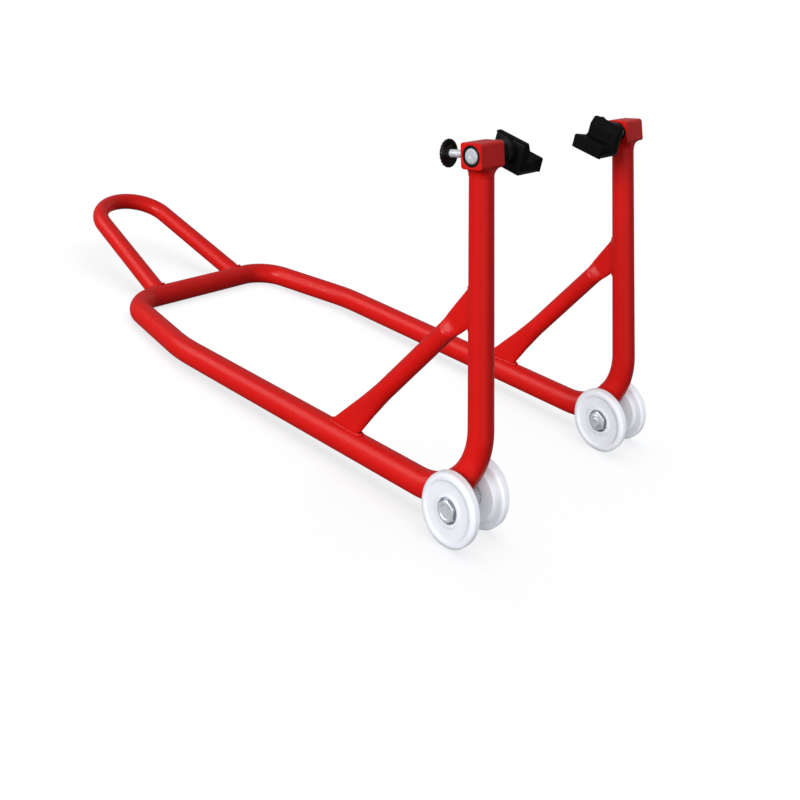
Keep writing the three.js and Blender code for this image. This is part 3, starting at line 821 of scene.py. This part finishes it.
for nm, s in SIDES:
    rings = []
    for x, ol in ((SOCK_IN, polar_square(SOCK - 0.6, 2.6)), (SOCK_IN + 0.18, polar_square(SOCK - 0.18, 2.9)), (SOCK_IN + 0.6, polar_square(SOCK, 3.0)),
                  (SOCK_OUT - 0.6, polar_square(SOCK, 3.0)), (SOCK_OUT - 0.18, polar_square(SOCK - 0.18, 2.9)), (SOCK_OUT, polar_square(SOCK - 0.6, 2.6)),
                  (SOCK_OUT, round_ring(SOCK_BORE + 0.4)), (SOCK_OUT - 0.4, round_ring(SOCK_BORE)),
                  (SOCK_IN + 0.4, round_ring(SOCK_BORE)), (SOCK_IN, round_ring(SOCK_BORE + 0.4))):
        rings.append([(x, y, z) for y, z in ol])
    v, f = ring_loft(rings)
    make("socket_skin_" + nm, v, f, "base", RED, ["arm_socket_" + nm], ARM, s, auto=50, weighted=True)
    # bushes, each a plain sleeve with its edges rounded, more at the open end
    for tag, a, b, g in (("outer", SOCK_OUT - 6, SOCK_OUT - 0.3, 1), ("inner", SOCK_IN + 6, SOCK_IN + 0.3, -1)):
        R = SOCK_BORE - 0.08
        prof = rounded([(a, ARM_BORE), (b, ARM_BORE), (b, R), (a, R)], [0.2, 0.7, 0.5, 0.2], True, 4)
        v, f = turned(prof, True, 72)
        make(f"arm_bush_skin_{tag}_{nm}", v, f, "base", PLASTIC, [f"arm_bush_{tag}_{nm}"], ARM, s, auto=40)

# flared weld between upright and socket: round below, square above
upx = CORNER_X + UP_DX * ARM_Z
UPM = Matrix.Translation(Vector((upx, UP_DY * ARM_Z, ARM_Z))) @ Matrix.Rotation(LEAN, 4, 'X')
rings = []
NS = 96
for k in range(15):
    t = k / 14.0
    z = -SOCK - 9.0 * (1 - t) + 0.4
    fl = 1 - math.sqrt(max(0.0, 1 - t * t))
    rx = FRAME_R + 0.15 + 8.0 * fl
    ry = FRAME_R + 0.15 - 0.6 * fl
    p = 2 + 2.2 * fl
    ring = []
    for i in range(NS):
        th = TAU * i / NS
        c, sn = math.cos(th), math.sin(th)
        x = rx * math.copysign(abs(c) ** (2 / p), c)
        y = ry * math.copysign(abs(sn) ** (2 / p), sn) + ARM_FORWARD * fl * 0.9
        rp = 1 + 0.010 * math.sin(i * TAU / NS * 26 + k * 0.9) * fl
        ring.append((x * rp, y * rp, z))
    rings.append(ring)
v, f = loft(rings)
for nm, s in SIDES:
    make("weld_socket_" + nm, v, f, "base", RED, local=UPM, side=s, auto=0)

# --------------------------------------------------------------- arm bars
armEnd = PAD_OUT - PAD_T - 0.15
prof = rounded([(armEnd, 0), (armEnd, ARM_R), (SOCK_OUT - 0.8, ARM_R), (SOCK_OUT + 0.6, ARM_R - 1.2), (SOCK_OUT + 0.6, 1.4), (SOCK_OUT + 0.1, 0)], [0, 0.2, 0.5, 0.3, 0.2, 0], False, 3)
v, f = turned(prof, False, 64)
for nm, s in SIDES:
    make("bar_skin_" + nm, v, f, "arm_" + nm, ZINC, ["arm_bar_" + nm], ARM, s)
prof = rounded([(PAD_OUT + HUB_L + 0.25, ARM_R + 0.02), (PAD_OUT + HUB_L + 3.25, ARM_R + 0.02), (PAD_OUT + HUB_L + 3.25, 10.4), (PAD_OUT + HUB_L + 0.25, 10.4)], 0.4, True, 3)
v, f = turned(prof, True, 64)
for nm, s in SIDES:
    make("collar_skin_" + nm, v, f, "arm_" + nm, PLASTIC, ["arm_collar_" + nm], ARM, s)
prof = rounded([(armEnd - 0.02, 0), (armEnd - 0.02, 9.6), (armEnd - 1.6, 9.6), (armEnd - 3.4, 6.5), (armEnd - 3.4, 0)], [0, 0.3, 0.6, 0.8, 0], False, 4)
v, f = turned(prof, False, 48)
for nm, s in SIDES:
    make("screw_skin_" + nm, v, f, "arm_" + nm, ZINC, ["swivel_screw_" + nm], ARM, s)

# ------------------------------------------------------------ clamp knobs
n = 48
rows = [[(ARM_R + 0.15, (STUD_R - 1) * math.cos(TAU * i / n), (STUD_R - 1) * math.sin(TAU * i / n)) for i in range(n)]]
rows += list(reversed(thread_rows(KNOB_BACK - 4, ARM_R + 0.6, STUD_R, 0.55, 1.25, n)))
v, f = rows_mesh(rows, n, cap0=(ARM_R + 0.15, 0, 0), cap1=(KNOB_BACK - 4, 0, 0))
for nm, s in SIDES:
    make("stud_skin_" + nm, v, f, "knob_" + nm, ZINC, ["knob_stud_" + nm], KNOB, s, auto=30)
kp = [(KNOB_BACK - 3.9, 0), (KNOB_BACK - 3.9, STUD_R + 0.03), (KNOB_FRONT - 1.5, STUD_R + 0.03), (KNOB_FRONT - 1.5, 6.4), (KNOB_FRONT - 0.1, 7.4),
      (KNOB_FRONT, KNOB_R - 0.6), (KNOB_FRONT + 1.2, KNOB_R), (KNOB_FRONT + 3.2, KNOB_R - 0.5), (KNOB_BACK - 1.6, 9.2), (KNOB_BACK - 0.1, 5.0), (KNOB_BACK - 0.1, 0)]
prof = rounded(kp, [0, 0.1, 0.3, 0.5, 0.8, 0.5, 0.9, 1.6, 3.0, 2.0, 0], False, 6)


def flute(a, x, r):
    if r < 11.6 or x < KNOB_FRONT + 0.3:
        return 0.0
    return -0.45 * (0.5 - 0.5 * math.cos(20 * a)) * min(1, (r - 11.6) / 1.2)


v, f = turned(prof, False, 192, flute)
for nm, s in SIDES:
    make("knob_skin_" + nm, v, f, "knob_" + nm, PLASTIC, ["knob_" + nm], KNOB, s, auto=50)

# --------------------------------------------------------- swingarm pads
prof = rounded([(PAD_OUT + 0.02, HUB_BORE), (PAD_OUT + HUB_L, HUB_BORE), (PAD_OUT + HUB_L, HUB_R), (PAD_OUT + 0.02, HUB_R)], [0.4, 0.5, 1.2, 0.2], True, 4)
v, f = turned(prof, True, 64)
for nm, s in SIDES:
    make("hub_skin_" + nm, v, f, "pad_" + nm, BLACKPAINT, ["pad_hub_" + nm], PAD, s)
curve = [(PAD_OUT + 0.9, (HUB_R + 0.5) * math.cos(TAU * i / 72), (HUB_R + 0.5) * math.sin(TAU * i / 72)) for i in range(72)]


def black_bead(name, curve, r, side, body, seed):
    ob = bead(name, [PAD @ Vector(p) for p in curve], r, side, seed)
    return ob


def bar_prism(outline, half, k=1):
    """Outline of (inward, height) drawn out along Y, as stacked rings."""
    rings = []
    for i in range(k + 1):
        y = -half + 2 * half * i / k
        rings.append([(PAD_OUT - u, y, h - PAD_AXIS_H) for u, h in outline])
    return loft(rings)


# steel L plate behind the rubber, bored for the bar
for nm, s in SIDES:
    out = rounded([(0, 0.3), (PAD_W - 2.35, 0.3), (PAD_W - 2.35, PAD_T), (PAD_T, PAD_T), (PAD_T, 31.4), (0, 31.4)], [2.2, 1.0, 1.0, 0.8, 1.0, 1.0], True, 4)
    v, f = bar_prism(out, PAD_HALF - 1)
    ob = make("plate_skin_" + nm, v, f, "pad_" + nm, BLACKPAINT, ["pad_bracket_" + nm], PAD, s, smooth=True, auto=30)
    me = ob.data
    tv, tf = turned([(PAD_OUT - PAD_T - 2, 0), (PAD_OUT - PAD_T - 2, HUB_BORE), (PAD_OUT + 2, HUB_BORE), (PAD_OUT + 2, 0)], False, 48)
    cutter = bpy.data.meshes.new("bore_" + nm)
    M = PLACE @ PAD
    cutter.from_pydata([((M @ Vector(p)).x * s * MM, (M @ Vector(p)).y * MM, (M @ Vector(p)).z * MM) for p in tv], [], tf)
    co = bpy.data.objects.new("bore_" + nm, cutter)
    bpy.context.scene.collection.objects.link(co)
    bm = bmesh.new(); bm.from_mesh(cutter); bmesh.ops.recalc_face_normals(bm, faces=bm.faces); bm.to_mesh(cutter); bm.free()
    md = ob.modifiers.new("bore", 'BOOLEAN'); md.object = co; md.operation = 'DIFFERENCE'; md.solver = 'EXACT'
    bpy.context.view_layer.update()
    dg = bpy.context.evaluated_depsgraph_get()
    fresh = bpy.data.meshes.new_from_object(ob.evaluated_get(dg))
    ob.modifiers.clear()
    ob.data = fresh
    flat_edges(fresh, 30)
    weigh(ob)
    bpy.data.objects.remove(co)

# moulded rubber: an L with soft edges and a pocket behind the flange for
# the screw
rub = [(PAD_W, 0), (PAD_W, SHELF_H - 1.4), (PAD_W - 1.4, SHELF_H), (ROOT_W, ROOT_H), (FLANGE_W, ROOT_H + 2.4), (FLANGE_W, 25.5), (7, PAD_H), (0, PAD_H), (0, 31.45),
       (PAD_T + 0.05, 31.45), (PAD_T + 0.05, PAD_T + 0.05), (PAD_W - 2.3, PAD_T + 0.05), (PAD_W - 2.3, 0)]
rub_r = [0.8, 1.2, 1.2, 1.6, 1.6, 2.4, 2.0, 1.0, 0.3, 0.3, 0.6, 0.3, 0.3]
for nm, s in SIDES:
    outl = rounded(rub, rub_r, True, 5)
    rings = []
    ys = []
    edge = 1.5
    for k in range(7):
        a = math.pi / 2 * k / 6
        ys.append((-PAD_HALF + edge * (1 - math.sin(a)), edge * (1 - math.cos(a))))
    ys = [(-PAD_HALF + edge * (1 - math.sin(math.pi / 2 * (1 - k / 6))), edge * (1 - math.cos(math.pi / 2 * (1 - k / 6)))) for k in range(7)]
    mid = [(-PAD_HALF + edge + (2 * PAD_HALF - 2 * edge) * k / 12, 0.0) for k in range(1, 12)]
    ys = ys + mid + [(-y, g) for y, g in reversed(ys)]
    cu = sum(p[0] for p in outl) / len(outl); ch = sum(p[1] for p in outl) / len(outl)
    m = len(outl)
    for y, g in ys:
        ring = []
        for i, (u, h) in enumerate(outl):
            a = Vector(outl[i - 1]); b = Vector(outl[(i + 1) % m])
            t = (b - a)
            nrm = Vector((-t.y, t.x)).normalized() if t.length > 1e-9 else Vector((0, 0))
            inside_skin = (u <= PAD_T + 0.3 and PAD_T - 0.3 < h < 31.8) or (h <= PAD_T + 0.3 and u < PAD_W - 1.9)
            gg = 0.0 if inside_skin else g
            ring.append((PAD_OUT - (u + nrm.x * gg), y, h + nrm.y * gg - PAD_AXIS_H))
        rings.append(ring)
    v, f = loft(rings)
    ob = make("rubber_skin_" + nm, v, f, "pad_" + nm, RUBBER, ["pad_rubber_" + nm], PAD, s, auto=50)
    tv, tf = turned([(PAD_OUT - 8.6, 0), (PAD_OUT - 8.6, 10.4), (PAD_OUT - PAD_T + 0.6, 10.4), (PAD_OUT - PAD_T + 0.6, 0)], False, 48)
    cutter = bpy.data.meshes.new("pocket_" + nm)
    M = PLACE @ PAD
    cutter.from_pydata([((M @ Vector(p)).x * s * MM, (M @ Vector(p)).y * MM, (M @ Vector(p)).z * MM) for p in tv], [], tf)
    bm = bmesh.new(); bm.from_mesh(cutter); bmesh.ops.recalc_face_normals(bm, faces=bm.faces); bm.to_mesh(cutter); bm.free()
    co = bpy.data.objects.new("pocket_" + nm, cutter)
    bpy.context.scene.collection.objects.link(co)
    md = ob.modifiers.new("pocket", 'BOOLEAN'); md.object = co; md.operation = 'DIFFERENCE'; md.solver = 'EXACT'
    bpy.context.view_layer.update()
    dg = bpy.context.evaluated_depsgraph_get()
    fresh = bpy.data.meshes.new_from_object(ob.evaluated_get(dg))
    ob.modifiers.clear()
    ob.data = fresh
    flat_edges(fresh, 50)
    weigh(ob)
    bpy.data.objects.remove(co)

# ------------------------------------------------- floor, lights, camera
floor_me = bpy.data.meshes.new("floor")
S = 30.0
floor_me.from_pydata([(-S, -S, 0), (S, -S, 0), (S, S, 0), (-S, S, 0)], [], [(0, 1, 2, 3)])
floor = bpy.data.objects.new("floor", floor_me)
bpy.context.scene.collection.objects.link(floor)
fm, nt, b = new_mat("pale_floor")
n1 = noise_tex(nt, 3.0, 2)
fr = ramp(nt, n1.outputs["Fac"], [(0.3, (0.90, 0.905, 0.91)), (0.7, (0.93, 0.93, 0.935))])
nt.links.new(fr.outputs["Color"], b.inputs["Base Color"])
b.inputs["Roughness"].default_value = 0.9
b.inputs["Specular IOR Level"].default_value = 0.0
dim = nd(nt, "ShaderNodeMix", data_type='RGBA', blend_type='MULTIPLY')
dim.inputs[0].default_value = 1.0
nt.links.new(fr.outputs["Color"], dim.inputs[6])
dim.inputs[7].default_value = grey(0.22)
nt.links.new(dim.outputs[2], b.inputs["Base Color"])
b.inputs["Emission Color"].default_value = (0.985, 0.99, 1.0, 1)
b.inputs["Emission Strength"].default_value = 0.79
floor_me.materials.append(fm)

world = bpy.data.worlds.new("studio")
bpy.context.scene.world = world
world.use_nodes = True
wt = world.node_tree
bg = wt.nodes["Background"]
wc = nd(wt, "ShaderNodeTexCoord")
wx = nd(wt, "ShaderNodeSeparateXYZ")
wt.links.new(wc.outputs["Generated"], wx.inputs[0])
wm = nd(wt, "ShaderNodeMapRange")
wm.inputs["From Min"].default_value = -1.0
wm.inputs["From Max"].default_value = 1.0
wt.links.new(wx.outputs["Z"], wm.inputs["Value"])
wr = ramp(wt, wm.outputs["Result"], [(0.0, (0.03, 0.03, 0.032)), (0.5, (0.235, 0.238, 0.244)), (1.0, (0.42, 0.425, 0.435))])
wt.links.new(wr.outputs["Color"], bg.inputs["Color"])
bg.inputs["Strength"].default_value = 1.0
backdrop = nd(wt, "ShaderNodeBackground")
backdrop.inputs["Color"].default_value = (1.0, 1.0, 1.0, 1)
backdrop.inputs["Strength"].default_value = 1.05
seen = nd(wt, "ShaderNodeLightPath")
pick = nd(wt, "ShaderNodeMixShader")
wt.links.new(seen.outputs["Is Camera Ray"], pick.inputs["Fac"])
wt.links.new(bg.outputs[0], pick.inputs[1])
wt.links.new(backdrop.outputs[0], pick.inputs[2])
wt.links.new(pick.outputs[0], wt.nodes["World Output"].inputs["Surface"])
floor.visible_diffuse = False
floor.visible_glossy = False


def sun(name, direction, power, spread, color=(1, 1, 1)):
    li = bpy.data.lights.new(name, 'SUN')
    li.energy = power
    li.color = color
    li.angle = math.radians(spread)
    ob = bpy.data.objects.new(name, li)
    ob.location = Vector(direction) * 3
    ob.rotation_mode = 'QUATERNION'
    ob.rotation_quaternion = (-Vector(direction)).to_track_quat('-Z', 'Y')
    bpy.context.scene.collection.objects.link(ob)
    return ob


def only(light, state, objects):
    """Light linking: this light leaves out, or falls only on, these objects."""
    group = bpy.data.collections.new(light.name + "_receivers")
    for ob in objects:
        group.objects.link(ob)
    light.light_linking.receiver_collection = group
    for link in group.collection_objects:
        link.light_linking.link_state = state


whites = [ob for ob in bpy.data.objects if ob.name.startswith("wheel_skin_")]
blacks = [ob for ob in bpy.data.objects if ob.type == 'MESH' and RUBBER in list(ob.data.materials)]
only(sun("key", (0.93, -0.05, 0.35), 2.45, 32), 'EXCLUDE', [floor] + whites)
only(sun("fill", (0.45, 0.85, 0.10), 0.42, 60), 'EXCLUDE', [floor])
only(sun("floor_top", (-0.1, -0.1, 1.0), 2.35, 70), 'INCLUDE', [floor])
# keeps the side away from the key from going dull when it is looked at
rear = sun("rear_fill", (-0.95, -0.05, 0.12), 1.35, 50)
rear.visible_glossy = False
only(rear, 'EXCLUDE', [floor] + whites)
# a broad lamp behind the handle side, seen only as a sheen along the tubes
gloss = sun("gloss", (0.55, -0.60, 0.58), 1.15, 36)
gloss.visible_diffuse = False
only(gloss, 'EXCLUDE', [floor] + blacks)
# the nylon passes and scatters light, so it gets soft light of its own, part
# of it without shadows
only(sun("white_key", (0.93, -0.12, 0.35), 1.42, 25), 'INCLUDE', whites)
through = sun("white_through", (0.78, 0.58, 0.22), 1.15, 60)
through.data.use_shadow = False
only(through, 'INCLUDE', whites)
only(sun("white_a", (0.10, 0.92, 0.38), 1.20, 120), 'INCLUDE', whites)
only(sun("white_b", (-0.75, -0.60, 0.25), 1.10, 120), 'INCLUDE', whites)

cam_data = bpy.data.cameras.new("camera")
cam = bpy.data.objects.new("camera", cam_data)
bpy.context.scene.collection.objects.link(cam)
bpy.context.scene.camera = cam
# camera axes and place in the plane of the legs, in millimetres
RIGHT = Vector((-0.638418647, 0.761214216, 0.113905878))
DOWN = Vector((-0.168267729, 0.006376820, -0.985720705))
FWD = Vector((-0.751070970, -0.648469162, 0.124016706))
EYE = Vector((1016.13170, 554.94957, 538.06485))
FOCAL_PX, PRINCIPAL_Y = 1020.8429, -208.3498
R3 = PLACE.to_3x3()
r, u, bk = (R3 @ RIGHT).normalized(), (R3 @ -DOWN).normalized(), (R3 @ -FWD).normalized()
M = Matrix(((r.x, u.x, bk.x, 0), (r.y, u.y, bk.y, 0), (r.z, u.z, bk.z, 0), (0, 0, 0, 1)))
eye = (PLACE @ EYE) * MM
cam.matrix_world = Matrix.Translation(eye) @ M
cam_data.sensor_width = 36.0
cam_data.sensor_fit = 'HORIZONTAL'
cam_data.lens = 36.0 * FOCAL_PX / 800.0
cam_data.clip_start, cam_data.clip_end = 0.05, 60
SHIFT = (PRINCIPAL_Y - 400.0) / 800.0
# The lens shift belongs to this one viewpoint: a driver fades it to zero as
# soon as the camera leaves this spot, so that other views stay centred.
spot = bpy.data.objects.new("camera_spot", None)
spot.location = eye
spot.empty_display_size = 0.01
bpy.context.scene.collection.objects.link(spot)
fc = cam_data.driver_add("shift_y")
fc.driver.type = 'SUM'
var = fc.driver.variables.new()
var.type = 'LOC_DIFF'
var.targets[0].id = cam
var.targets[1].id = spot
while fc.modifiers:
    fc.modifiers.remove(fc.modifiers[0])
for px, py in ((-0.1, SHIFT), (0.0, SHIFT), (0.05, 0.0), (0.15, 0.0)):
    fc.keyframe_points.insert(px, py).interpolation = 'LINEAR'
fc.extrapolation = 'CONSTANT'

bpy.context.scene.view_settings.view_transform = 'Standard'
bpy.context.scene.view_settings.look = 'None'
